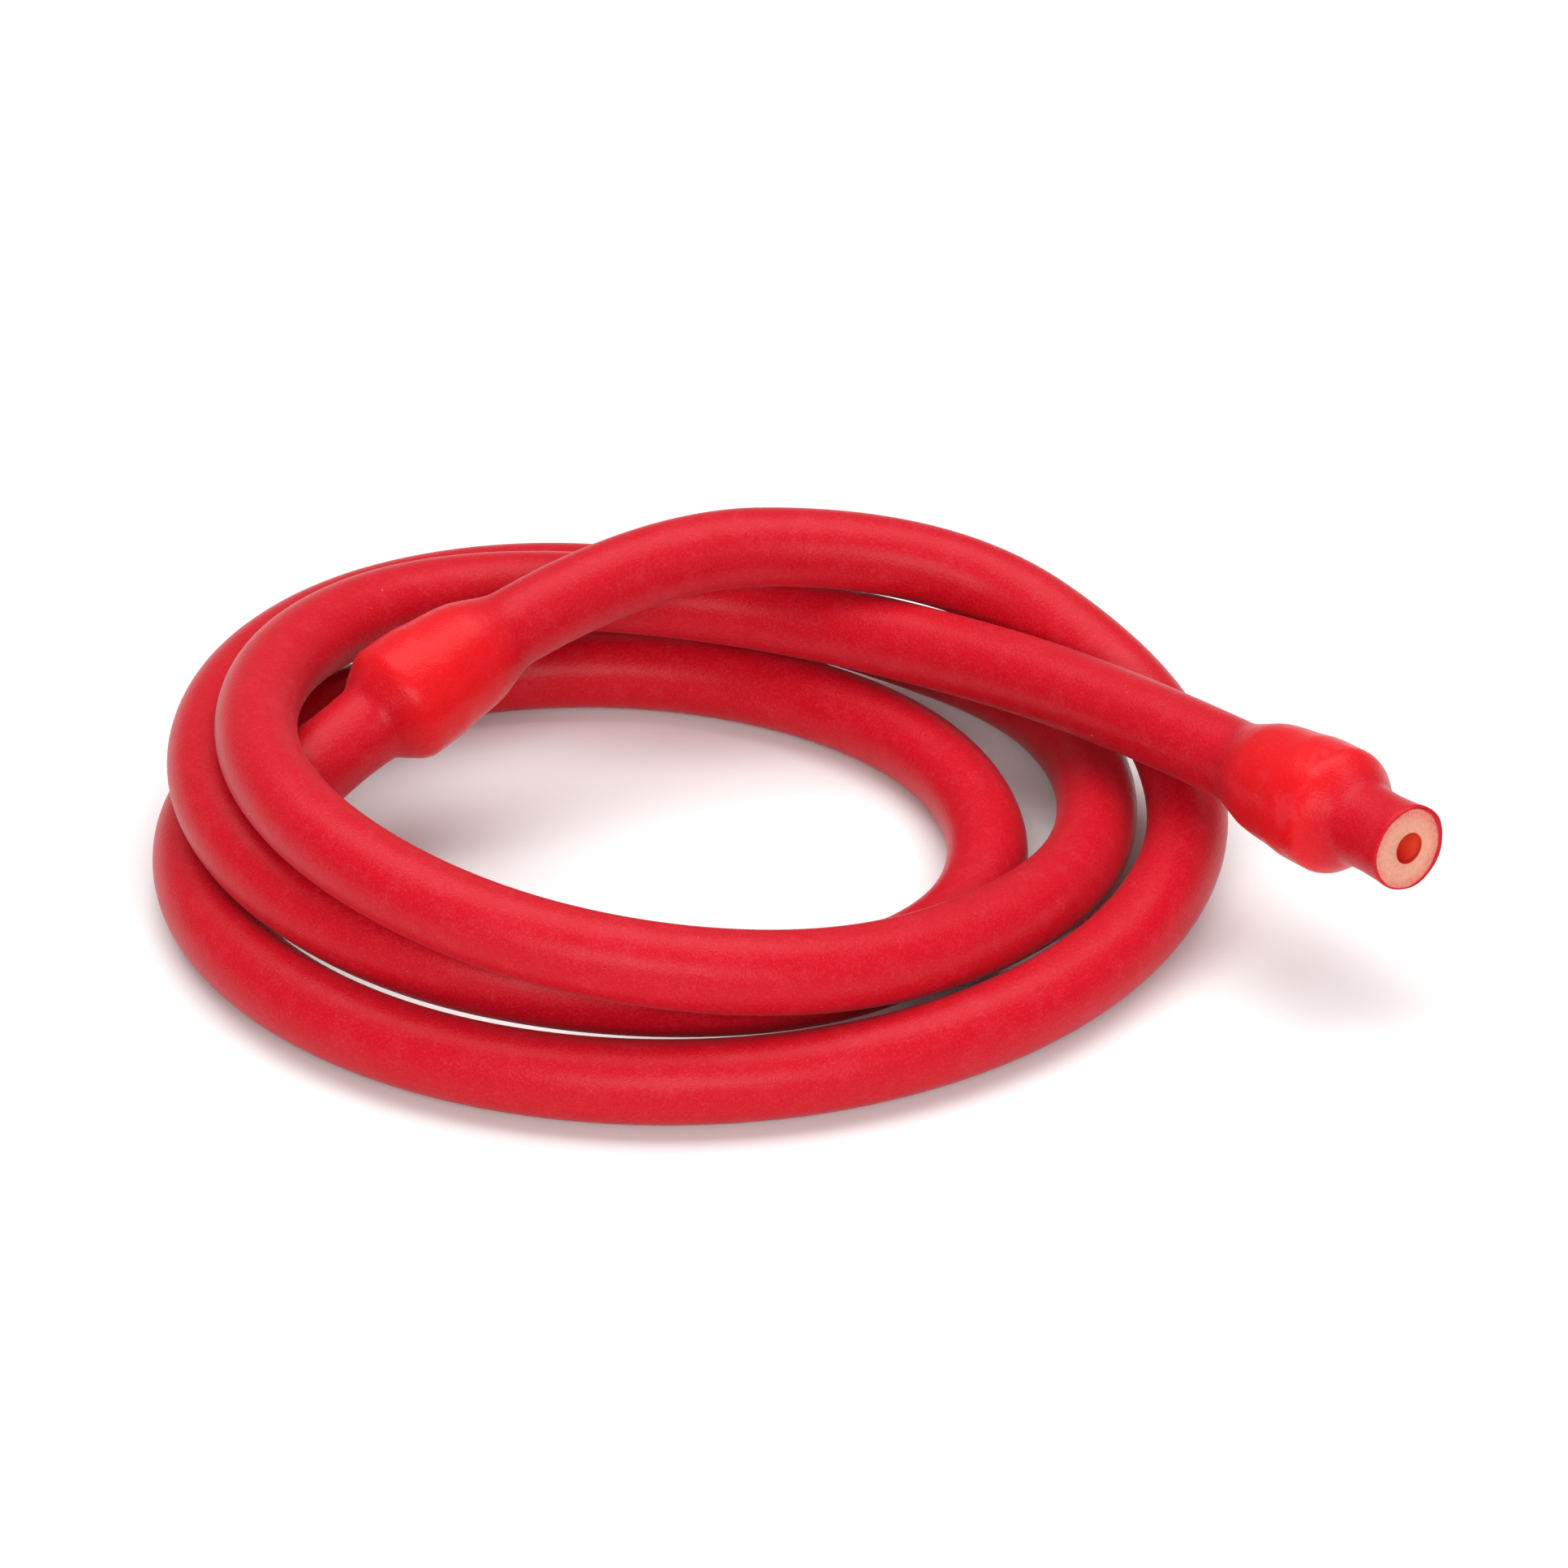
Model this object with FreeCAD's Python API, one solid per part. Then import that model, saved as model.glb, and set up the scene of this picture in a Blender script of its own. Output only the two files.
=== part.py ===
"""Open length of latex resistance tubing, lying in about three and a half loose turns.

Millimetres, +Z up, floor at Z = 0, with the origin under the middle of the coil.
The tube is a cream latex core with a thin coloured skin over it. A moulded plug is pushed into
each end, and the rubber stretches over it and swells. Past each plug a short tail of tube is left,
with its cut face showing. One end is tucked into the coil and the other stands free.
"""
import FreeCAD
import Part
import math
import os

# Sizes of the tube
TUBE_D = 12.7          # outside diameter of the tube away from its ends
BORE_D = 4.9           # bore through the core
SKIN_T = 0.4           # thickness of the coloured skin on the unstretched tube

# Sizes of the swollen ends
BULGE_D = 20.0         # largest diameter over a plug
BULGE_LAND = 5.0       # straight part at the largest diameter
SHOULDER_LEN = 6.4     # rise from the tail to the largest diameter
PLUG_LEN = 14.0        # length of a plug, small end to small end
PLUG_SETBACK = 4.4     # from the end of the tail to the plug
PLUG_TAPER = 1.1       # how much smaller in radius the inner end of a plug is
NECK_LEN = 18.0        # from the end of the land to the unstretched tube
FLARE = 0.4            # how far the cut face flares out, in radius
FLARE_LEN = 8.0        # length of that flare
FREE_TAIL = 10.0       # tail past the free end's plug
TUCKED_TAIL = 14.2     # tail past the tucked end's plug

# Size of the coil
COIL_SPREAD = 1.0      # 1 is as laid, with strands touching; more lays the turns wider, less can't be built
ROUTE_TUBE_D = 12.7    # the tube diameter that the route below was laid for

# The route of the tube's centre line, from the tucked end to the free end. Each point is where two
# straight runs would meet, and an arc rounds it off.
ROUTE = [
    # tucked end, rising over the left side and across the back
    (-75.5, -1.1, 18.8), (-33.5, 38, 38), (25, 52, 30.8), (57.5, 27, 18.5), (64.5, 0, 10),
    # outer turn on the floor
    (54.5, -27.5, 7), (34, -50.5, 6.4), (6, -65, 6.4), (-25, -68, 6.4), (-54.5, -60, 6.4),
    (-78, -42, 6.4), (-92, -17, 6.4), (-93.5, 11.5, 6.4), (-81, 35.5, 6.6), (-57.5, 51, 6.8),
    # back and round the inner right side
    (-27, 55, 6.8), (3, 46.5, 6.4), (24.5, 27, 6.4), (33, 0, 6.4), (26.5, -26.5, 6.8),
    # second turn, on top of the first at the left
    (5.5, -45.5, 8.8), (-25, -53, 12), (-56, -47.5, 15), (-79.5, -29.5, 18), (-91.5, -3, 19.7),
    (-89, 26.5, 20.1), (-73, 51.5, 19.1), (-46.5, 66.5, 16.8), (-16, 69.5, 13), (14, 61, 9),
    (39, 44.5, 7.6), (49.5, 20, 7.5), (47.5, -10, 9.6),
    # third turn, on top of the second
    (33, -36, 13.7), (10, -55.5, 18), (-18.5, -62.5, 23), (-47, -56.5, 27.3), (-71, -37.5, 30.5),
    (-83, -10.5, 30.8), (-80.5, 19.5, 29), (-63.5, 44, 25.6), (-34, 54, 22.2),
    # across the back and out to the free end
    (8.5, 49.5, 18.1), (57.5, 7.5, 25.6), (92.5, -40.5, 30.5),
]
ARC_SHARE = 0.45       # share of the shorter run that an arc takes at each of its ends
SKIN_TOLERANCE = 0.02  # how far the skin's volume may be from its section times the length

# Values that follow from those above
TUBE_R = TUBE_D / 2
BORE_R = BORE_D / 2
BULGE_R = BULGE_D / 2
SKIN_AREA = TUBE_R**2 - (TUBE_R - SKIN_T)**2     # each over pi, and kept when the rubber stretches
WALL_AREA = TUBE_R**2 - BORE_R**2


def under_skin(radius):
    """Radius of the core where the skin's outside has this radius."""
    return math.sqrt(radius**2 - SKIN_AREA)


def inside_wall(radius):
    """Radius of the hollow where the skin's outside has this radius."""
    return math.sqrt(radius**2 - WALL_AREA)


def end_profile(tail):
    """(distance from the cut face, outside radius) for a swollen end with this tail."""
    swell = BULGE_R - TUBE_R
    ridge = tail + SHOULDER_LEN
    neck = ridge + BULGE_LAND
    return [
        (0.0, TUBE_R + FLARE),
        (FLARE_LEN, TUBE_R),
        (tail, TUBE_R + 0.04 * swell),
        (tail + 0.47 * SHOULDER_LEN, TUBE_R + 0.54 * swell),
        (tail + 0.78 * SHOULDER_LEN, TUBE_R + 0.89 * swell),
        (ridge, BULGE_R),
        (neck, BULGE_R),
        (neck + 0.19 * NECK_LEN, TUBE_R + 0.86 * swell),
        (neck + 0.43 * NECK_LEN, TUBE_R + 0.74 * swell),
        (neck + 0.55 * NECK_LEN, TUBE_R + 0.64 * swell),
        (neck + 0.67 * NECK_LEN, TUBE_R + 0.45 * swell),
        (neck + 0.79 * NECK_LEN, TUBE_R + 0.23 * swell),
        (neck + 0.91 * NECK_LEN, TUBE_R + 0.05 * swell),
        (neck + NECK_LEN, TUBE_R),
    ]


def laid_route():
    """The route's points for this tube diameter and spread."""
    scale = TUBE_D / ROUTE_TUBE_D
    flat = scale * COIL_SPREAD
    return [FreeCAD.Vector(x * flat, y * flat, z * scale) for x, y, z in ROUTE]


def path_edges(points):
    """Straight runs joined by tangent arcs, and the arcs' radii."""
    edges = []
    radii = []
    start = points[0]
    for before, corner, after in zip(points, points[1:], points[2:]):
        incoming = corner - before
        outgoing = after - corner
        reach = ARC_SHARE * min(incoming.Length, outgoing.Length)
        turn = incoming.getAngle(outgoing)
        radii.append(reach / math.tan(turn / 2))
        way_in = FreeCAD.Vector(incoming).normalize()
        way_out = FreeCAD.Vector(outgoing).normalize()
        arc_start = corner - way_in * reach
        arc_end = corner + way_out * reach
        inward = (way_out - way_in).normalize()
        to_middle = radii[-1] / math.cos(turn / 2) - radii[-1]
        edges.append(Part.LineSegment(start, arc_start).toShape())
        edges.append(Part.Arc(arc_start, corner + inward * to_middle, arc_end).toShape())
        start = arc_end
    edges.append(Part.LineSegment(start, points[-1]).toShape())
    return edges, radii


def place_on(edges, distance):
    """Point and direction on the path at this distance from its start."""
    for edge in edges[:-1]:
        if distance <= edge.Length:
            break
        distance -= edge.Length
    else:
        edge = edges[-1]
    at = edge.getParameterByLength(distance)
    return edge.valueAt(at), edge.tangentAt(at)


def ring(edges, distance, radius):
    """Circle square to the path."""
    centre, way = place_on(edges, distance)
    return Part.Wire(Part.Circle(centre, way, radius).toShape())


def turned(start, way, profile):
    """Solid of revolution about the line through start along way."""
    side = way.cross(FreeCAD.Vector(0, 0, 1)).normalize()
    line = [start + way * profile[0][0]]
    line += [start + way * along + side * radius for along, radius in profile]
    line.append(start + way * profile[-1][0])
    line.append(line[0])
    return Part.Face(Part.makePolygon(line)).revolve(start, way, 360)


def trimmed(edges, first, last):
    """The part of the path between two distances from its start."""
    kept = []
    travelled = 0.0
    for edge in edges:
        low = max(first - travelled, 0.0)
        high = min(last - travelled, edge.Length)
        if high - low > 1e-6:
            begin = edge.getParameterByLength(low)
            finish = edge.getParameterByLength(high)
            kept.append(edge.Curve.toShape(begin, finish))
        travelled += edge.Length
    return Part.Wire(kept)


def swelling(edges, profile, rule, overrun):
    """Solid end: turned on the first straight run, then lofted along the path past it."""
    straight = edges[0].Length
    start, way = place_on(edges, 0.0)
    on_line = [(along, rule(radius)) for along, radius in profile if along < straight]
    past = [(along, rule(radius)) for along, radius in profile if along >= straight]
    if overrun:
        on_line.insert(0, (-overrun, on_line[0][1]))
    body = turned(start, way, on_line)
    rings = [ring(edges, along, radius) for along, radius in [on_line[-1]] + past]
    if past:
        body = body.fuse(Part.makeLoft(rings, True, False))
    return body, profile[-1][0]


def backwards(edges):
    """The same path from its other end."""
    turned_round = []
    for edge in reversed(edges):
        first = edge.valueAt(edge.LastParameter)
        last = edge.valueAt(edge.FirstParameter)
        if isinstance(edge.Curve, Part.Line):
            turned_round.append(Part.LineSegment(first, last).toShape())
        else:
            middle = edge.valueAt((edge.FirstParameter + edge.LastParameter) / 2)
            turned_round.append(Part.Arc(first, middle, last).toShape())
    return turned_round


def strand(forward, back, rule, overrun=0.0):
    """Solid that follows the whole path, with a rule that gives its radius from the outside one."""
    length = sum(edge.Length for edge in forward)
    tucked, low = swelling(forward, end_profile(TUCKED_TAIL), rule, overrun)
    free, high = swelling(back, end_profile(FREE_TAIL), rule, overrun)
    spine = trimmed(forward, low, length - high)
    middle = spine.makePipeShell([ring(forward, low, rule(TUBE_R))], True, False)
    ideal = math.pi * rule(TUBE_R)**2 * (length - low - high)
    print("strand middle: volume is", round(middle.Volume / ideal, 5), "of section times length")
    return middle.fuse([tucked, free])


def plug(edges, tail):
    """Plug for one end: a drum with a rounded rise and a slow taper, filling the hollow."""
    start, way = place_on(edges, 0.0)
    near = tail + PLUG_SETBACK
    widest = tail + SHOULDER_LEN
    land_end = widest + BULGE_LAND
    far = near + PLUG_LEN
    full = inside_wall(BULGE_R)
    profile = [(near, full - 0.8), (widest, full), (land_end, full), (far, full - PLUG_TAPER)]
    return turned(start, way, profile)


def save(shape, node):
    """Write one solid and print what it is."""
    solid = shape.Solids[0]
    print(node, "solids", len(shape.Solids), "valid", solid.isValid(), "volume", round(solid.Volume, 1))
    solid.exportStep("parts/" + node + ".step")


if COIL_SPREAD < 1:
    raise ValueError("the strands touch as laid, so drawing the coil in would push them into each other")

os.makedirs("parts", exist_ok=True)
path, arc_radii = path_edges(laid_route())
path_back = backwards(path)
path_length = sum(edge.Length for edge in path)
print("centre line", round(path_length, 1), "mm")
print("arc radii", " ".join(str(round(radius)) for radius in arc_radii))

outside = strand(path, path_back, lambda radius: radius)
core_outside = strand(path, path_back, under_skin)
core_cutter = strand(path, path_back, under_skin, overrun=3.0)
skin = outside.cut(core_cutter)
skin_share = skin.Volume / (math.pi * SKIN_AREA * path_length)
print("skin: volume is", round(skin_share, 5), "of section times length")
if abs(skin_share - 1) > SKIN_TOLERANCE:
    raise RuntimeError("the skin wasn't hollowed out, as happens when strands run into each other")

bore_wire = trimmed(path, 0.0, path_length)
bore = bore_wire.makePipeShell([ring(path, 0.0, BORE_R)], True, False)
tucked_plug = plug(path, TUCKED_TAIL)
free_plug = plug(path_back, FREE_TAIL)
core = core_outside.cut([bore, tucked_plug, free_plug])

save(skin, "outer_skin")
save(core, "latex_core")
save(tucked_plug, "tucked_end_plug")
save(free_plug, "free_end_plug")
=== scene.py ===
"""Looks of an open length of latex resistance tubing that lies in about three and a half loose turns.

A cream core carries a thin red skin. A plug sits in each end, and the rubber swells over it. Everything is
in metres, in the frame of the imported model, and follows one line from the tucked end to the free end.
"""

import math

import bpy
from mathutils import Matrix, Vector


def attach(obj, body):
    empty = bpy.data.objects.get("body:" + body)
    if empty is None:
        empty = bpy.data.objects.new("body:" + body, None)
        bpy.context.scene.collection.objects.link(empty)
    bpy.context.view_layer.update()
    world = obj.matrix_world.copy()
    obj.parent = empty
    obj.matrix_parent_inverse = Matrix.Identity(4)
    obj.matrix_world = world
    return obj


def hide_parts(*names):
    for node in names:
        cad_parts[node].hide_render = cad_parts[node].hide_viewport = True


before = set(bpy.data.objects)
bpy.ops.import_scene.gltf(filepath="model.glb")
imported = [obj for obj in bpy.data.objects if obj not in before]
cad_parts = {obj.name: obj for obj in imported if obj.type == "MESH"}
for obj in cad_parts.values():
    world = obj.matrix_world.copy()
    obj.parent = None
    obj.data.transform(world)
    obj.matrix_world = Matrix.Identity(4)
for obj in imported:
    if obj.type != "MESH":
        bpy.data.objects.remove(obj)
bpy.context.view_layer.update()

bl_info = {
    "name": "Resistance Tube",
    "version": (1, 0, 0),
    "blender": (4, 5, 0),
    "location": "View3D > Sidebar > Tube",
    "description": "Builds a coiled latex resistance tube with plugged, swollen ends",
    "category": "Add Mesh",
}

# Where the centre line goes, from the tucked end to the free end, in metres.
ROUTE = (
    # tucked end, rising over the left side and across the back
    (-0.0755, -0.0011, 0.0188), (-0.0335, 0.0380, 0.0380), (0.0250, 0.0520, 0.0308),
    (0.0575, 0.0270, 0.0185), (0.0645, 0.0000, 0.0100),
    # outer turn on the floor
    (0.0545, -0.0275, 0.0070), (0.0340, -0.0505, 0.0064), (0.0060, -0.0650, 0.0064),
    (-0.0250, -0.0680, 0.0064), (-0.0545, -0.0600, 0.0064), (-0.0780, -0.0420, 0.0064),
    (-0.0920, -0.0170, 0.0064), (-0.0935, 0.0115, 0.0064), (-0.0810, 0.0355, 0.0066),
    (-0.0575, 0.0510, 0.0068),
    # back and round the inner right side
    (-0.0270, 0.0550, 0.0068), (0.0030, 0.0465, 0.0064), (0.0245, 0.0270, 0.0064),
    (0.0330, 0.0000, 0.0064), (0.0265, -0.0265, 0.0068),
    # second turn, on top of the first at the left
    (0.0055, -0.0455, 0.0088), (-0.0250, -0.0530, 0.0120), (-0.0560, -0.0475, 0.0150),
    (-0.0795, -0.0295, 0.0180), (-0.0915, -0.0030, 0.0197), (-0.0890, 0.0265, 0.0201),
    (-0.0730, 0.0515, 0.0191), (-0.0465, 0.0665, 0.0168), (-0.0160, 0.0695, 0.0130),
    (0.0140, 0.0610, 0.0090), (0.0390, 0.0445, 0.0076), (0.0495, 0.0200, 0.0075),
    (0.0475, -0.0100, 0.0096),
    # third turn, on top of the second
    (0.0330, -0.0360, 0.0137), (0.0100, -0.0555, 0.0180), (-0.0185, -0.0625, 0.0230),
    (-0.0470, -0.0565, 0.0273), (-0.0710, -0.0375, 0.0305), (-0.0830, -0.0105, 0.0308),
    (-0.0805, 0.0195, 0.0290), (-0.0635, 0.0440, 0.0256), (-0.0340, 0.0540, 0.0222),
    # across the back and out to the free end
    (0.0085, 0.0495, 0.0181), (0.0575, 0.0075, 0.0256), (0.0925, -0.0405, 0.0305),
)

# Small sizes in metres that aren't settings
CUT_ROUNDING = 0.00018      # rounding of the skin's outer edge at a cut face
CUT_ROUNDING_DEPTH = 0.3    # share of that rounding that runs along the tube
SKIN_LIP = 0.00003          # flat left at the inner edge of the skin's rim, so the rim is shaded flat
CORE_LIP = 0.00006          # the same at the outer edge of the core's face
CORE_GAP = 0.00002          # air between the core and what it touches
BORE_BEVEL = 0.00012        # bevel at the mouth of the bore
CUT_REACH = 0.004           # how far from a cut face the tail is out of round
CUT_THREE_SIDED = 0.00009   # how much, three times round
CUT_SEVEN_SIDED = 0.00005   # how much, seven times round
PLUG_NOSE = 0.0008          # how much smaller in radius the outer end of a plug is
PLUG_TAPER = 0.0011         # how much smaller in radius its inner end is
PLUG_CLEAR = 0.0001         # air between a plug and the rubber
END_ZONE = 0.054            # length of each end that has close rings
RING_STEP_END = 0.0007      # distance between rings there
RING_STEP = 0.0023          # distance between rings on the plain tube
LEAST_STEP = 0.0003         # a last ring closer to the end than this is left out
SPECKS_CLEAR_OF_END = 0.012

# Stage, in metres
FLOOR_REACH = 4.0
KEY_PLACE = (0.0, 0.24, 1.12)
KEY_AIM = (0.0, 0.0, 0.0)
KEY_SIZE = (1.5, 0.95)
FILL_PLACE = (0.05, -1.20, 0.66)
FILL_AIM = (0.0, 0.0, 0.02)
FILL_SIZE = (1.2, 0.5)
CAMERA_PLACE = (-0.0006, -0.8269, 0.5180)
CAMERA_TILT = math.radians(58.8)


# ---------------------------------------------------------------- settings

def size(name, description, default):
    return bpy.props.FloatProperty(
        name=name, description=description, default=default, min=0.0, precision=5, unit="LENGTH")


def colour(name, description, default):
    return bpy.props.FloatVectorProperty(
        name=name, description=description, default=default, size=3, min=0.0, max=1.0, subtype="COLOR")


class TubeSizes(bpy.types.PropertyGroup):
    """Sizes of the tube and of its swollen ends."""
    tube: size("Tube diameter", "Outside diameter away from the ends", 0.0127)
    bore: size("Bore", "Diameter of the hollow", 0.0049)
    skin: size("Skin thickness", "Thickness of the red skin on the unstretched tube", 0.0004)
    bulge: size("Bulge diameter", "Largest diameter over a plug", 0.0200)
    land: size("Bulge land", "Straight part at the largest diameter", 0.0050)
    shoulder: size("Shoulder", "Rise from the tail to the largest diameter", 0.0064)
    neck: size("Neck", "From the land back to the unstretched tube", 0.0180)
    free_tail: size("Free tail", "Tail past the free end's plug", 0.0100)
    tucked_tail: size("Tucked tail", "Tail past the tucked end's plug", 0.0142)
    plug: size("Plug length", "Length of a plug", 0.0140)
    setback: size("Plug setback", "From the end of the tail to the plug", 0.0044)
    flare: size("Flare", "How far the cut face flares out, in radius", 0.0004)
    around: bpy.props.IntProperty(
        name="Sides", description="Faces round the tube", default=48, min=12, max=96)


class TubeFinish(bpy.types.PropertyGroup):
    """Colours of the latex and the plugs."""
    red: colour("Red", "Colour of the skin", (0.46, 0.0026, 0.0100))
    stretched: colour("Stretched red", "Colour of the skin where a plug stretches it", (0.60, 0.0055, 0.0090))
    # the powder colour also paints the highlight patches on the stretched bulges
    powder: colour("Powder", "Colour of the dry powder that stays on the skin", (0.80, 0.13, 0.19))
    cream: colour("Cream", "Colour of the core at a fresh cut", (0.61, 0.245, 0.158))
    blush: colour("Blush", "Colour of the core next to the skin", (0.56, 0.115, 0.085))
    hollow: colour("Hollow", "Colour of the wall of the bore", (0.42, 0.004, 0.010))
    fleck: colour("Fleck", "Colour of the pale flecks in a fresh cut", (0.69, 0.41, 0.30))
    # painted light in the bore: a lit copy of the hollow colour, and a glow colour for an emission
    lit_hollow: colour("Lit hollow", "Colour of the bore's wall on the side that catches light",
                       (0.62, 0.06, 0.02))
    glow: colour("Glow", "Light that comes through the rubber into the bore", (0.62, 0.015, 0.012))
    plug: colour("Plug", "Colour of the plugs", (0.05, 0.05, 0.05))
    plug_grain: colour("Plug grain", "Colour of the faint grain on the plugs", (0.09, 0.09, 0.09))
    pale_powder: colour("Pale powder", "Palest colour of the specks", (0.9, 0.42, 0.42))
    grain: size("Grain", "Distance between the grains of the skin", 0.0006)


class TubeSpecks(bpy.types.PropertyGroup):
    """Specks of powder that stick to the skin."""
    per_area: bpy.props.FloatProperty(
        name="Density", description="Specks per square metre of skin", default=700.0, min=0.0)
    size: size("Speck size", "Radius of the largest speck", 0.00016)
    seed: bpy.props.IntProperty(name="Seed", description="Which scatter of specks is used", default=4)


class TubeStage(bpy.types.PropertyGroup):
    """Floor, lights and camera."""
    floor: colour("Floor", "Colour of the floor", (0.80, 0.80, 0.80))
    sky: bpy.props.FloatProperty(
        name="Sky", description="Strength of the even light from all round", default=0.34, min=0.0)
    key: bpy.props.FloatProperty(
        name="Key light", description="Power of the softbox overhead", default=17.5, min=0.0, unit="POWER")
    fill: bpy.props.FloatProperty(
        name="Fill light", description="Power of the light beside the camera", default=15.0, min=0.0,
        unit="POWER")
    lens: bpy.props.FloatProperty(
        name="Lens", description="Focal length on a 36 mm sensor, in millimetres", default=142.7, min=10.0)


# ---------------------------------------------------------------- the line and the sweep

def smooth_line():
    """Points along the smooth centre line, close together."""
    curve = bpy.data.curves.new("centre_line", "CURVE")
    curve.dimensions = "3D"
    curve.resolution_u = 48
    spline = curve.splines.new("NURBS")
    spline.points.add(len(ROUTE) - 1)
    for point, place in zip(spline.points, ROUTE):
        point.co = (*place, 1.0)
    spline.order_u = 3
    spline.use_endpoint_u = True
    holder = bpy.data.objects.new("centre_line", curve)
    bpy.context.scene.collection.objects.link(holder)
    bpy.context.view_layer.update()
    mesh = bpy.data.meshes.new_from_object(holder.evaluated_get(bpy.context.evaluated_depsgraph_get()))
    points = [vertex.co.copy() for vertex in mesh.vertices]
    bpy.data.objects.remove(holder)
    bpy.data.curves.remove(curve)
    bpy.data.meshes.remove(mesh)
    return points


class Line:
    """The centre line, with a direction and two sides at every distance along it."""

    def __init__(self, points):
        self.points = points
        self.at = [0.0]
        for a, b in zip(points, points[1:]):
            self.at.append(self.at[-1] + (b - a).length)
        self.length = self.at[-1]
        last = len(points) - 1
        self.ways = [(points[min(i + 1, last)] - points[max(i - 1, 0)]).normalized() for i in range(last + 1)]
        side = self.ways[0].cross(Vector((0, 0, 1))).normalized()
        self.sides = [side]
        for a, b in zip(self.ways, self.ways[1:]):
            side = a.rotation_difference(b) @ side
            side = (side - b * side.dot(b)).normalized()
            self.sides.append(side)

    def place(self, distance):
        """Middle, side and upward side of the tube at this distance."""
        low, high = 0, len(self.at) - 1
        while high - low > 1:
            middle = (low + high) // 2
            if self.at[middle] <= distance:
                low = middle
            else:
                high = middle
        share = (distance - self.at[low]) / (self.at[high] - self.at[low])
        way = self.ways[low].lerp(self.ways[high], share).normalized()
        side = self.sides[low].lerp(self.sides[high], share)
        side = (side - way * side.dot(way)).normalized()
        return self.points[low].lerp(self.points[high], share), side, way.cross(side)


def eased(stations, x):
    """Smooth value through (x, value) stations that never overshoots them."""
    if x <= stations[0][0]:
        return stations[0][1]
    if x >= stations[-1][0]:
        return stations[-1][1]
    slopes = [(b[1] - a[1]) / (b[0] - a[0]) for a, b in zip(stations, stations[1:])]
    i = next(k for k in range(len(slopes)) if x < stations[k + 1][0])

    def tangent(k):
        if k == 0 or k == len(slopes) or slopes[k - 1] * slopes[k] <= 0:
            return 0.0
        return 2 * slopes[k - 1] * slopes[k] / (slopes[k - 1] + slopes[k])

    (x0, y0), (x1, y1) = stations[i], stations[i + 1]
    span = x1 - x0
    t = (x - x0) / span
    return (y0 * (1 + 2 * t) * (1 - t) ** 2 + tangent(i) * span * t * (1 - t) ** 2
            + y1 * t * t * (3 - 2 * t) + tangent(i + 1) * span * t * t * (t - 1))


class Shape:
    """Radii of the tube along its length, from the sizes."""

    def __init__(self, sizes, line):
        self.sizes = sizes
        self.line = line
        self.radius = sizes.tube / 2
        self.skin_area = self.radius ** 2 - (self.radius - sizes.skin) ** 2
        self.wall_area = self.radius ** 2 - (sizes.bore / 2) ** 2
        self.ends = [self.profile(sizes.tucked_tail), self.profile(sizes.free_tail)]

    def profile(self, tail):
        s = self.sizes
        r = self.radius
        swell = s.bulge / 2 - r
        ridge = tail + s.shoulder
        back = ridge + s.land
        return [
            (0.0, r + s.flare), (0.25 * tail, r + 0.4 * s.flare), (0.65 * tail, r), (tail, r + 0.05 * swell),
            (tail + 0.47 * s.shoulder, r + 0.54 * swell), (tail + 0.78 * s.shoulder, r + 0.90 * swell),
            (ridge, r + swell), (back, r + 0.985 * swell), (back + 0.19 * s.neck, r + 0.86 * swell),
            (back + 0.43 * s.neck, r + 0.74 * swell), (back + 0.55 * s.neck, r + 0.64 * swell),
            (back + 0.67 * s.neck, r + 0.45 * swell), (back + 0.79 * s.neck, r + 0.23 * swell),
            (back + 0.91 * s.neck, r + 0.05 * swell), (back + s.neck, r),
        ]

    def outside(self, distance):
        return max(eased(self.ends[0], distance), eased(self.ends[1], self.line.length - distance),
                   self.radius)

    def under_skin(self, distance):
        return math.sqrt(self.outside(distance) ** 2 - self.skin_area)

    def hollow(self, distance):
        return math.sqrt(max(self.outside(distance) ** 2 - self.wall_area, (self.sizes.bore / 2) ** 2))

    def stretch(self, distance):
        return (self.outside(distance) - self.radius) / (self.sizes.bulge / 2 - self.radius)

    def stations(self):
        """Distances for the rings: close together at the ends, wider along the plain tube."""
        found = []
        distance = 0.0
        while distance < self.line.length - 1e-6:
            found.append(distance)
            near = min(distance, self.line.length - distance)
            distance += RING_STEP_END if near < END_ZONE else RING_STEP
        if self.line.length - found[-1] < LEAST_STEP:
            found.pop()
        return found + [self.line.length]


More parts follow.
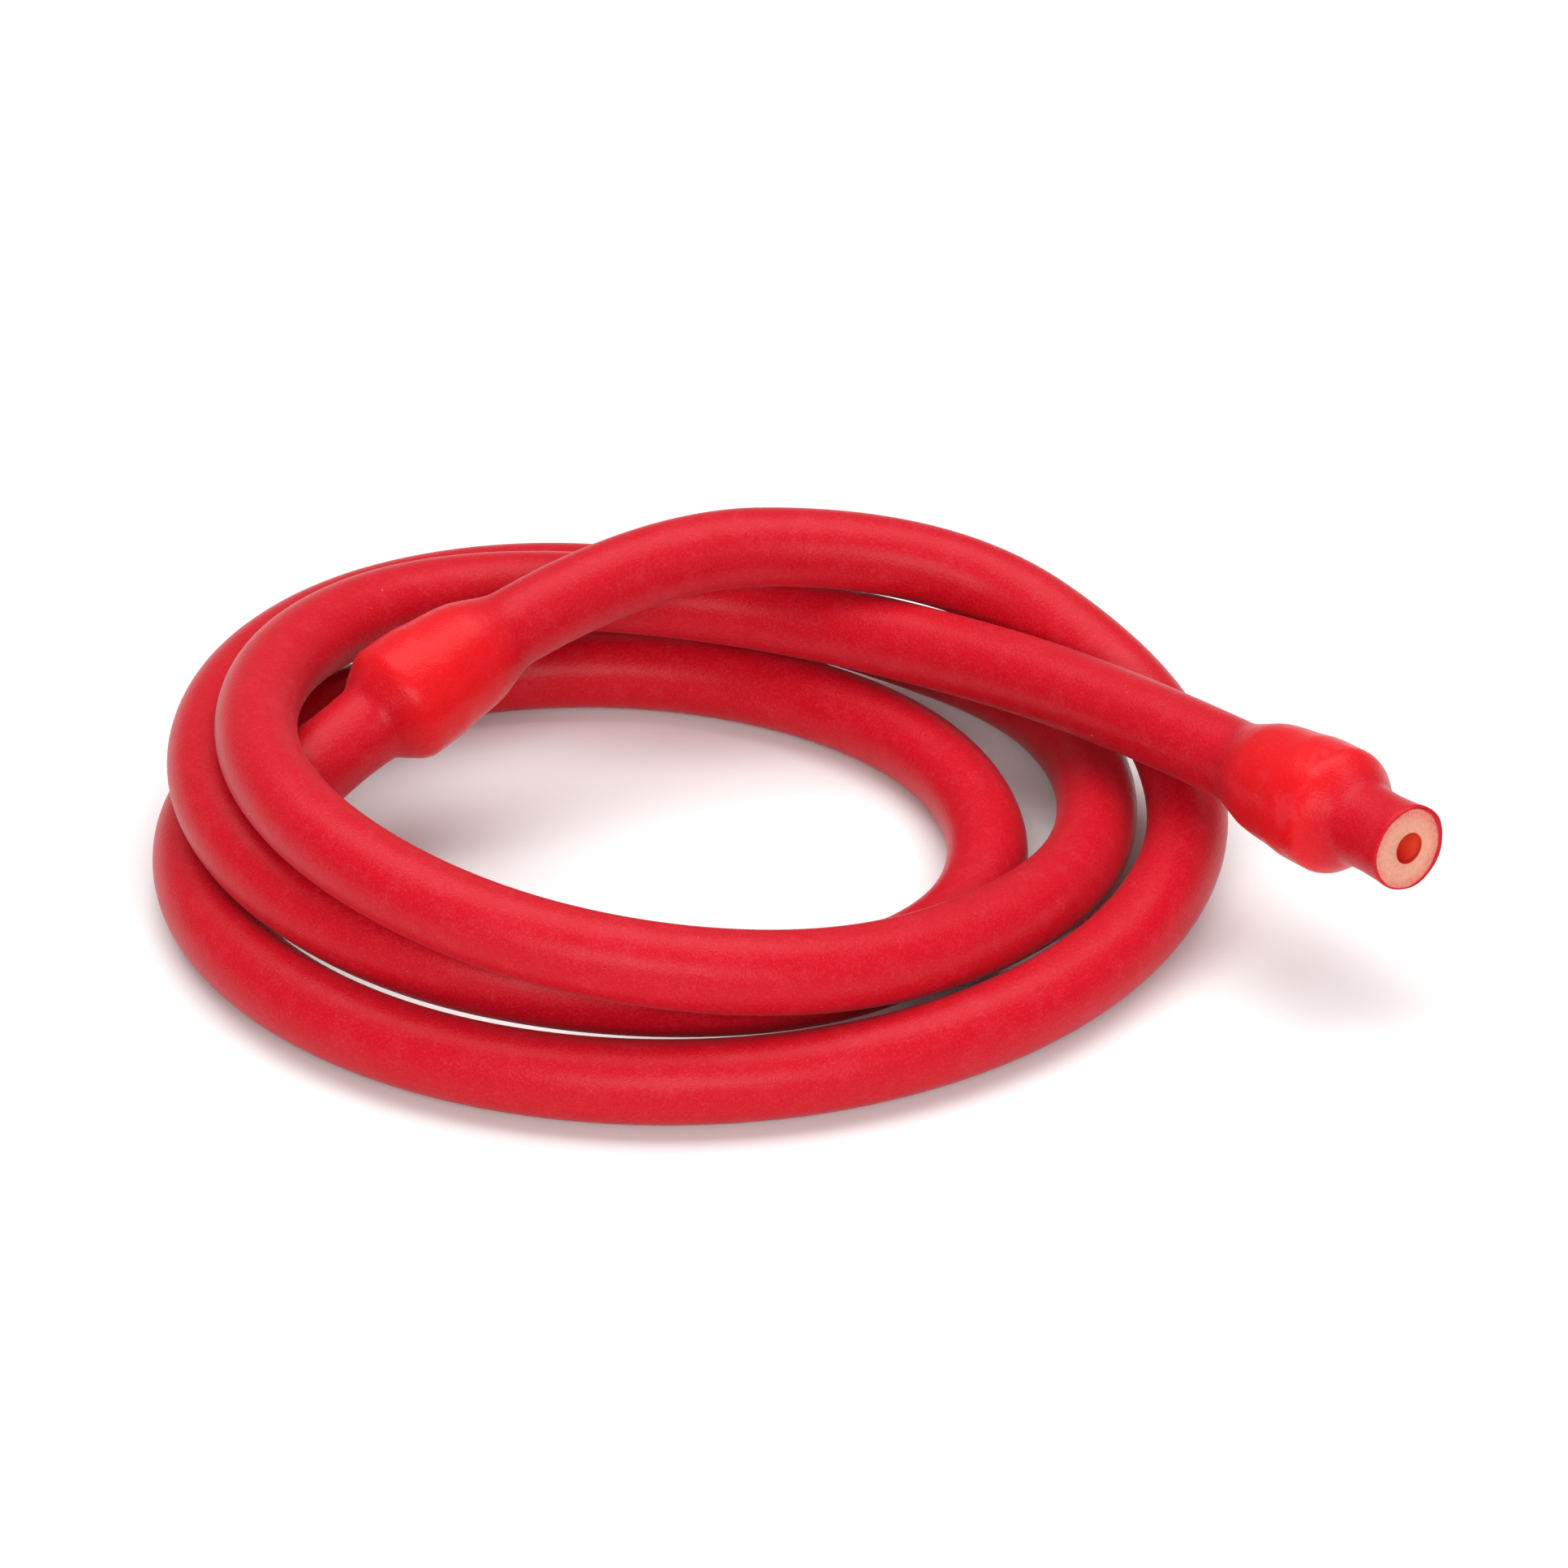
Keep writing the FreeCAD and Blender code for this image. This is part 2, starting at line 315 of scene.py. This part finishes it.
def swept(name, line, rings, sides, closed, wobble=None):
    """Solid of rings along the line. A ring is (distance, radius, values); the values become attributes.

    One more attribute, facing, says how far each point looks towards +X. A closed solid joins its last ring
    to its first, as a tube wall does. An open one gets a pole at each end. A wobble gives what to add to the
    radius for a ring's number and an angle.
    """
    vertices = []
    facing = []
    facts = {key: [] for key in rings[0][2]}
    for number, (distance, radius, values) in enumerate(rings):
        middle, side, up = line.place(distance)
        for k in range(sides):
            angle = 2 * math.pi * k / sides
            push = wobble(number, angle) if wobble else 0.0
            out = side * math.cos(angle) + up * math.sin(angle)
            vertices.append(middle + out * (radius + push))
            facing.append(out.x)
            for key in facts:
                facts[key].append(values[key])
    faces = []
    pairs = list(zip(range(len(rings)), range(1, len(rings))))
    if closed:
        pairs.append((len(rings) - 1, 0))
    for a, b in pairs:
        for k in range(sides):
            n = (k + 1) % sides
            faces.append((a * sides + k, a * sides + n, b * sides + n, b * sides + k))
    if not closed:
        for ring, flip in ((0, True), (len(rings) - 1, False)):
            pole = len(vertices)
            vertices.append(line.place(rings[ring][0])[0])
            facing.append(0.0)
            for key in facts:
                facts[key].append(rings[ring][2][key])
            for k in range(sides):
                edge = (ring * sides + k, ring * sides + (k + 1) % sides)
                faces.append((edge[1], edge[0], pole) if flip else (edge[0], edge[1], pole))
    mesh = bpy.data.meshes.new(name)
    mesh.from_pydata([tuple(v) for v in vertices], [], faces)
    mesh.polygons.foreach_set("use_smooth", [True] * len(mesh.polygons))
    facts["facing"] = facing
    for key, values in facts.items():
        mesh.attributes.new(key, "FLOAT", "POINT").data.foreach_set("value", values)
    uv = mesh.uv_layers.new(name="Around")
    for polygon in mesh.polygons:
        for loop in polygon.loop_indices:
            vertex = mesh.loops[loop].vertex_index
            ring, k = divmod(vertex, sides)
            wrapped = k == 0 and any(mesh.loops[j].vertex_index % sides == sides - 1
                                     for j in polygon.loop_indices)
            uv.data[loop].uv = ((k / sides) + (1.0 if wrapped else 0.0), min(ring, len(rings) - 1) / 100)
    mesh.update()
    piece = bpy.data.objects.new(name, mesh)
    bpy.context.scene.collection.objects.link(piece)
    return piece


def make_line():
    return Line(smooth_line())


# ---------------------------------------------------------------- shader maths

class Value:
    """A number from a socket. Arithmetic on it adds Math nodes."""

    def __init__(self, maker, socket):
        self.maker = maker
        self.socket = socket

    def combine(self, operation, a, b):
        return Value(self.maker, self.maker.node("ShaderNodeMath", {"operation": operation}, {0: a, 1: b}))

    def __add__(self, other):
        return self.combine("ADD", self, other)

    __radd__ = __add__

    def __sub__(self, other):
        return self.combine("SUBTRACT", self, other)

    def __rsub__(self, other):
        return self.combine("SUBTRACT", other, self)

    def __mul__(self, other):
        return self.combine("MULTIPLY", self, other)

    __rmul__ = __mul__


class Maker:
    """Builds the nodes of one material."""

    def __init__(self, name):
        self.material = bpy.data.materials.new(name)
        self.material.use_nodes = True
        self.tree = self.material.node_tree
        self.shader = self.tree.nodes["Principled BSDF"]

    def node(self, kind, choices, inputs, output=0):
        """One node: its settings, then the values or links of its sockets. Gives the asked output."""
        node = self.tree.nodes.new(kind)
        for key, choice in choices.items():
            setattr(node, key, choice)
        for key, value in inputs.items():
            self.put(node.inputs[key], value)
        return node.outputs[output]

    def put(self, socket, value):
        if isinstance(value, Value):
            value = value.socket
        if isinstance(value, bpy.types.NodeSocket):
            self.tree.links.new(value, socket)
        elif hasattr(value, "__len__") and len(value) == 3 and socket.type == "RGBA":
            socket.default_value = (*value, 1.0)
        else:
            socket.default_value = value

    def set(self, **sockets):
        for key, value in sockets.items():
            self.put(self.shader.inputs[key.replace("_", " ")], value)

    def place(self):
        return self.node("ShaderNodeTexCoord", {}, {}, "Object")

    def attribute(self, name):
        return Value(self, self.node("ShaderNodeAttribute", {"attribute_name": name}, {}, "Fac"))

    def noise(self, spacing, detail=2.0, rough=0.5):
        """Noise with this distance between its features, from 0 to 1."""
        return Value(self, self.node(
            "ShaderNodeTexNoise", {}, {"Vector": self.place(), "Scale": 1 / spacing, "Detail": detail,
                                       "Roughness": rough}, "Fac"))

    def between(self, value, low, high):
        """0 at low, 1 at high, and straight between."""
        return Value(self, self.node(
            "ShaderNodeMapRange", {"clamp": True}, {"Value": value, "From Min": low, "From Max": high}))

    def mix(self, share, a, b):
        """Colour a at a share of 0, and colour b at 1. The node's colour sockets are 6, 7 and output 2."""
        return self.node("ShaderNodeMix", {"data_type": "RGBA"}, {0: share, 6: a, 7: b}, 2)

    def bump(self, height, depth):
        return self.node("ShaderNodeBump", {}, {"Height": height, "Distance": depth, "Strength": 1.0})


def red_latex(finish):
    """Satin red latex with a fine powdery grain. It is brighter where it is stretched, and has painted
    highlight patches in the powder colour there.
    """
    m = Maker("red_latex")
    stretch = m.attribute("stretch")
    cloud = m.noise(0.022, 3.0)
    grain = m.noise(finish.grain, 2.0, 0.6)
    fine = m.noise(finish.grain * 0.45, 1.0)
    dust = m.between(m.noise(0.0035, 4.0, 0.65) * 0.6 + grain * 0.4, 0.50, 0.72)
    body = m.mix(m.between(stretch + cloud * 0.4 - 0.2, 0.15, 0.95), finish.red, finish.stretched)
    # painted highlight: pale patches on the stretched bulges stand in for glints of the softbox on the
    # rubber's lumps
    painted_highlight_patches = m.between(m.noise(0.0050, 3.0, 0.6), 0.56, 0.68) * m.between(stretch, 0.55, 0.95)
    powdered = m.mix(dust * (0.09 - 0.06 * stretch) + m.between(fine, 0.52, 0.70) * (0.08 - 0.05 * stretch)
                     + painted_highlight_patches * 0.09, body, finish.powder)
    m.set(Base_Color=powdered, Roughness=0.31 + grain * 0.12 - stretch * 0.07, Specular_IOR_Level=0.13,
          Sheen_Weight=0.05, Sheen_Roughness=0.4, Sheen_Tint=(1.0, 0.5, 0.58))
    lumps = m.noise(0.0042, 1.0) * stretch
    m.set(Normal=m.bump(grain * 0.6 + fine * 0.4 + lumps * 3.0, 0.00010))
    return m.material


def cream_latex(finish):
    """Matte flecked cream latex at the cut, redder towards the skin and the +X side, with an orange hollow
    that has painted light on its +X side and a painted glow.
    """
    m = Maker("cream_latex")
    inner = m.attribute("inner")
    rim = m.attribute("rim")
    facing = m.attribute("facing")
    grain = m.noise(0.0005, 3.0, 0.6)
    patch = m.noise(0.0045, 2.0)
    face = m.mix(m.between(rim + patch * 0.5 + facing * 0.2 - 0.25, 0.4, 1.0), finish.cream, finish.blush)
    face = m.mix(m.between(grain, 0.40, 0.66) * 0.34, face, finish.fleck)
    face = m.mix(m.between(rim + facing * 0.30 + patch * 0.1, 1.03, 1.13), face, finish.red)
    # painted light: the bore's wall turns from the hollow colour to the lit colour where it faces +X
    wall = m.mix(m.between(facing, 0.1, 0.9), finish.hollow, finish.lit_hollow)
    m.set(Base_Color=m.mix(inner, face, wall), Roughness=0.62 + grain * 0.12, Specular_IOR_Level=0.25)
    # painted glow: an emission in the bore stands in for light that comes through the rubber
    m.set(Emission_Color=m.mix(inner, (0.0, 0.0, 0.0), finish.glow), Emission_Strength=0.22)
    m.set(Normal=m.bump(grain, 0.00006))
    return m.material


def plug_plastic(finish):
    """Plain moulded plastic with a faint moulding texture."""
    m = Maker("plug_plastic")
    grain = m.noise(0.0004, 2.0)
    m.set(Base_Color=m.mix(grain * 0.5, finish.plug, finish.plug_grain), Roughness=0.5 + grain * 0.15)
    m.set(Normal=m.bump(grain, 0.00002))
    return m.material


def speck_powder(finish):
    """Pale powder."""
    m = Maker("speck_powder")
    grain = m.noise(0.0001, 1.0)
    m.set(Base_Color=m.mix(grain, finish.powder, finish.pale_powder), Roughness=0.85,
          Specular_IOR_Level=0.2)
    return m.material


def floor_paper(colour_of_floor):
    """Matte white paper."""
    m = Maker("floor_paper")
    m.set(Base_Color=colour_of_floor, Roughness=0.9, Specular_IOR_Level=0.1)
    return m.material


# ---------------------------------------------------------------- operators

class TUBE_OT_skin(bpy.types.Operator):
    """Build the thin red skin, with its narrow rim at each cut face"""
    bl_idname = "tube.skin"
    bl_label = "Red Skin"

    def execute(self, context):
        sizes = context.scene.tube_sizes
        line = make_line()
        shape = Shape(sizes, line)
        stations = shape.stations()
        last = line.length
        edge = shape.outside(0.0)
        lip = shape.under_skin(0.0) + SKIN_LIP
        eased_in = CUT_ROUNDING * CUT_ROUNDING_DEPTH
        rings = [(0.0, lip), (0.0, edge - CUT_ROUNDING), (eased_in, edge - eased_in)]
        rings += [(d, shape.outside(d)) for d in stations[1:-1] if min(d, last - d) > CUT_ROUNDING]
        rings += [(last - eased_in, edge - eased_in), (last, edge - CUT_ROUNDING), (last, lip)]
        rings += [(d, shape.under_skin(d)) for d in reversed(stations)]
        rings = [(d, r, {"stretch": shape.stretch(d)}) for d, r in rings]

        def hand_cut(number, angle):
            near = max(0.0, 1 - min(rings[number][0], last - rings[number][0]) / CUT_REACH)
            return near ** 2 * (CUT_THREE_SIDED * math.sin(3 * angle + 1.0)
                                + CUT_SEVEN_SIDED * math.sin(7 * angle))

        piece = swept("red_skin", line, rings, sizes.around, True, hand_cut)
        piece.data.materials.append(red_latex(context.scene.tube_finish))
        return {"FINISHED"}


class TUBE_OT_core(bpy.types.Operator):
    """Build the cream core with its bore and its two cut faces"""
    bl_idname = "tube.core"
    bl_label = "Cream Core"

    def execute(self, context):
        sizes = context.scene.tube_sizes
        line = make_line()
        shape = Shape(sizes, line)
        stations = shape.stations()
        last = line.length
        hole = sizes.bore / 2
        # each ring is (distance, radius, how much it is wall of the bore, how near it is to the skin)
        face = [(shape.under_skin(0.0) - CORE_GAP - CORE_LIP, 0.0, 0.98),
                ((shape.under_skin(0.0) + hole) / 2, 0.0, 0.4), (hole + BORE_BEVEL, 0.0, 0.0)]
        mouth = (hole, 0.7, 0.0)
        rings = [(d, shape.under_skin(d) - CORE_GAP, 0.0, 1.0) for d in stations]
        rings += [(last, *values) for values in face]
        rings += [(last - BORE_BEVEL, *mouth)]
        rings += [(d, shape.hollow(d) + (CORE_GAP if shape.stretch(d) > 0.2 else 0.0), 1.0, 0.0)
                  for d in reversed(stations[1:-1])]
        rings += [(BORE_BEVEL, *mouth)]
        rings += [(0.0, *values) for values in reversed(face)]
        rings = [(d, r, {"inner": inner, "rim": rim}) for d, r, inner, rim in rings]
        piece = swept("cream_core", line, rings, sizes.around, True)
        piece.data.materials.append(cream_latex(context.scene.tube_finish))
        return {"FINISHED"}


class TUBE_OT_plugs(bpy.types.Operator):
    """Build the plug inside each end"""
    bl_idname = "tube.plugs"
    bl_label = "End Plugs"

    def execute(self, context):
        sizes = context.scene.tube_sizes
        line = make_line()
        shape = Shape(sizes, line)
        full = math.sqrt((sizes.bulge / 2) ** 2 - shape.wall_area)
        material = plug_plastic(context.scene.tube_finish)
        for name, tail, flip in (("tucked_plug", sizes.tucked_tail, False),
                                 ("free_plug", sizes.free_tail, True)):
            near = tail + sizes.setback
            widest = tail + sizes.shoulder
            far = near + sizes.plug
            inner_end = full - PLUG_TAPER - PLUG_CLEAR
            profile = [(near, full - PLUG_NOSE - 0.0006), (near + 0.0004, full - PLUG_NOSE),
                       (widest, full - PLUG_CLEAR), (widest + sizes.land, full - PLUG_CLEAR),
                       (far - 0.0005, inner_end), (far, inner_end - 0.0005)]
            if flip:
                profile = [(line.length - d, r) for d, r in reversed(profile)]
            rings = [(d, min(r, shape.hollow(d)), {"stretch": 0.0}) for d, r in profile]
            piece = swept(name, line, rings, sizes.around, False)
            piece.data.materials.append(material)
        return {"FINISHED"}


def scatter_tree(material):
    """Geometry nodes that scatter small flattened grains over a surface."""
    tree = bpy.data.node_groups.new("scatter_specks", "GeometryNodeTree")
    face = tree.interface
    face.new_socket("Geometry", in_out="INPUT", socket_type="NodeSocketGeometry")
    face.new_socket("Geometry", in_out="OUTPUT", socket_type="NodeSocketGeometry")
    for name, kind in (("Density", "NodeSocketFloat"), ("Size", "NodeSocketFloat"),
                       ("Seed", "NodeSocketInt")):
        face.new_socket(name, in_out="INPUT", socket_type=kind)
    nodes = tree.nodes
    link = tree.links.new
    start = nodes.new("NodeGroupInput")
    end = nodes.new("NodeGroupOutput")
    points = nodes.new("GeometryNodeDistributePointsOnFaces")
    link(start.outputs["Geometry"], points.inputs["Mesh"])
    link(start.outputs["Density"], points.inputs["Density"])
    link(start.outputs["Seed"], points.inputs["Seed"])
    grain = nodes.new("GeometryNodeMeshIcoSphere")
    grain.inputs["Subdivisions"].default_value = 1
    link(start.outputs["Size"], grain.inputs["Radius"])
    vary = nodes.new("FunctionNodeRandomValue")
    vary.data_type = "FLOAT_VECTOR"
    vary.inputs["Min"].default_value = (0.35, 0.35, 0.25)
    vary.inputs["Max"].default_value = (1.0, 0.8, 0.45)
    link(start.outputs["Seed"], vary.inputs["Seed"])
    place = nodes.new("GeometryNodeInstanceOnPoints")
    link(points.outputs["Points"], place.inputs["Points"])
    link(points.outputs["Rotation"], place.inputs["Rotation"])
    link(grain.outputs["Mesh"], place.inputs["Instance"])
    link(vary.outputs["Value"], place.inputs["Scale"])
    real = nodes.new("GeometryNodeRealizeInstances")
    link(place.outputs["Instances"], real.inputs["Geometry"])
    paint = nodes.new("GeometryNodeSetMaterial")
    paint.inputs["Material"].default_value = material
    link(real.outputs["Geometry"], paint.inputs["Geometry"])
    link(paint.outputs["Geometry"], end.inputs["Geometry"])
    return tree


class TUBE_OT_specks(bpy.types.Operator):
    """Scatter a few specks of powder over the skin"""
    bl_idname = "tube.specks"
    bl_label = "Powder Specks"

    def execute(self, context):
        specks = context.scene.tube_specks
        sizes = context.scene.tube_sizes
        line = make_line()
        shape = Shape(sizes, line)
        rings = [(d, shape.outside(d), {"stretch": 0.0}) for d in shape.stations() if
                 SPECKS_CLEAR_OF_END < d < line.length - SPECKS_CLEAR_OF_END]
        base = swept("powder_specks", line, rings, sizes.around, False)
        holder = base.modifiers.new("scatter", "NODES")
        holder.node_group = scatter_tree(speck_powder(context.scene.tube_finish))
        values = {"Density": specks.per_area, "Size": specks.size, "Seed": specks.seed}
        for item in holder.node_group.interface.items_tree:
            if item.name in values:
                holder[item.identifier] = values[item.name]
        context.view_layer.update()
        mesh = bpy.data.meshes.new_from_object(base.evaluated_get(context.evaluated_depsgraph_get()))
        if not mesh.polygons:
            raise RuntimeError("the scatter made no specks")
        base.modifiers.remove(holder)
        base.data = mesh
        return {"FINISHED"}


class TUBE_OT_declare(bpy.types.Operator):
    """Attach each piece to the root body and hide the imported parts listed with it"""
    bl_idname = "tube.declare"
    bl_label = "Declare Pieces"

    def execute(self, context):
        path = smooth_line()
        for name, slot, nodes in (("red_skin", "red_latex", ("outer_skin",)),
                                  ("cream_core", "cream_latex", ("latex_core",)),
                                  ("tucked_plug", "plug_plastic", ("tucked_end_plug",)),
                                  ("free_plug", "plug_plastic", ("free_end_plug",)),
                                  ("powder_specks", "red_latex", ())):
            piece = bpy.data.objects[name]
            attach(piece, "root")
            if nodes:
                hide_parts(*nodes)
        return {"FINISHED"}


def area_light(name, place, aim, size_xy, power):
    """Softbox at a place, turned to face a point."""
    lamp = bpy.data.lights.new(name, "AREA")
    lamp.shape = "RECTANGLE"
    lamp.size, lamp.size_y = size_xy
    lamp.energy = power
    holder = bpy.data.objects.new(name, lamp)
    holder.location = place
    holder.rotation_euler = (Vector(aim) - Vector(place)).to_track_quat("-Z", "Y").to_euler()
    bpy.context.scene.collection.objects.link(holder)


class TUBE_OT_stage(bpy.types.Operator):
    """Set out the floor, the lights and the camera"""
    bl_idname = "tube.stage"
    bl_label = "Stage"

    def execute(self, context):
        stage = context.scene.tube_stage
        mesh = bpy.data.meshes.new("floor")
        corners = ((-1, -1), (1, -1), (1, 1), (-1, 1))
        mesh.from_pydata([(x * FLOOR_REACH, y * FLOOR_REACH, 0) for x, y in corners], [], [(0, 1, 2, 3)])
        floor = bpy.data.objects.new("floor", mesh)
        mesh.materials.append(floor_paper(stage.floor))
        context.scene.collection.objects.link(floor)

        world = bpy.data.worlds.new("studio")
        world.use_nodes = True
        sky = world.node_tree.nodes["Background"]
        sky.inputs["Color"].default_value = (1.0, 1.0, 1.0, 1.0)
        sky.inputs["Strength"].default_value = stage.sky
        context.scene.world = world
        context.scene.view_settings.view_transform = "Standard"

        area_light("softbox", KEY_PLACE, KEY_AIM, KEY_SIZE, stage.key)
        area_light("fill", FILL_PLACE, FILL_AIM, FILL_SIZE, stage.fill)

        camera = bpy.data.cameras.new("camera")
        camera.sensor_width = 36.0
        camera.lens = stage.lens
        holder = bpy.data.objects.new("camera", camera)
        holder.location = CAMERA_PLACE
        holder.rotation_euler = (CAMERA_TILT, 0.0, 0.0)
        context.scene.collection.objects.link(holder)
        context.scene.camera = holder
        return {"FINISHED"}


class TUBE_PT_panel(bpy.types.Panel):
    """Lists the steps and the settings"""
    bl_label = "Resistance Tube"
    bl_idname = "TUBE_PT_panel"
    bl_space_type = "VIEW_3D"
    bl_region_type = "UI"
    bl_category = "Tube"

    def draw(self, context):
        column = self.layout.column()
        for operator in STEPS:
            column.operator(operator.bl_idname)
        for group in (context.scene.tube_sizes, context.scene.tube_finish, context.scene.tube_specks,
                      context.scene.tube_stage):
            box = column.box()
            for key in group.__annotations__:
                box.prop(group, key)


STEPS = (TUBE_OT_skin, TUBE_OT_core, TUBE_OT_plugs, TUBE_OT_specks, TUBE_OT_declare, TUBE_OT_stage)
GROUPS = {"tube_sizes": TubeSizes, "tube_finish": TubeFinish, "tube_specks": TubeSpecks,
          "tube_stage": TubeStage}
CLASSES = (*GROUPS.values(), *STEPS, TUBE_PT_panel)


def register():
    for each in CLASSES:
        bpy.utils.register_class(each)
    for name, group in GROUPS.items():
        setattr(bpy.types.Scene, name, bpy.props.PointerProperty(type=group))


def unregister():
    for name in GROUPS:
        delattr(bpy.types.Scene, name)
    for each in reversed(CLASSES):
        bpy.utils.unregister_class(each)


def main():
    register()
    bpy.ops.tube.skin()
    bpy.ops.tube.core()
    bpy.ops.tube.plugs()
    bpy.ops.tube.specks()
    bpy.ops.tube.declare()
    bpy.ops.tube.stage()


if __name__ == "__main__":
    main()
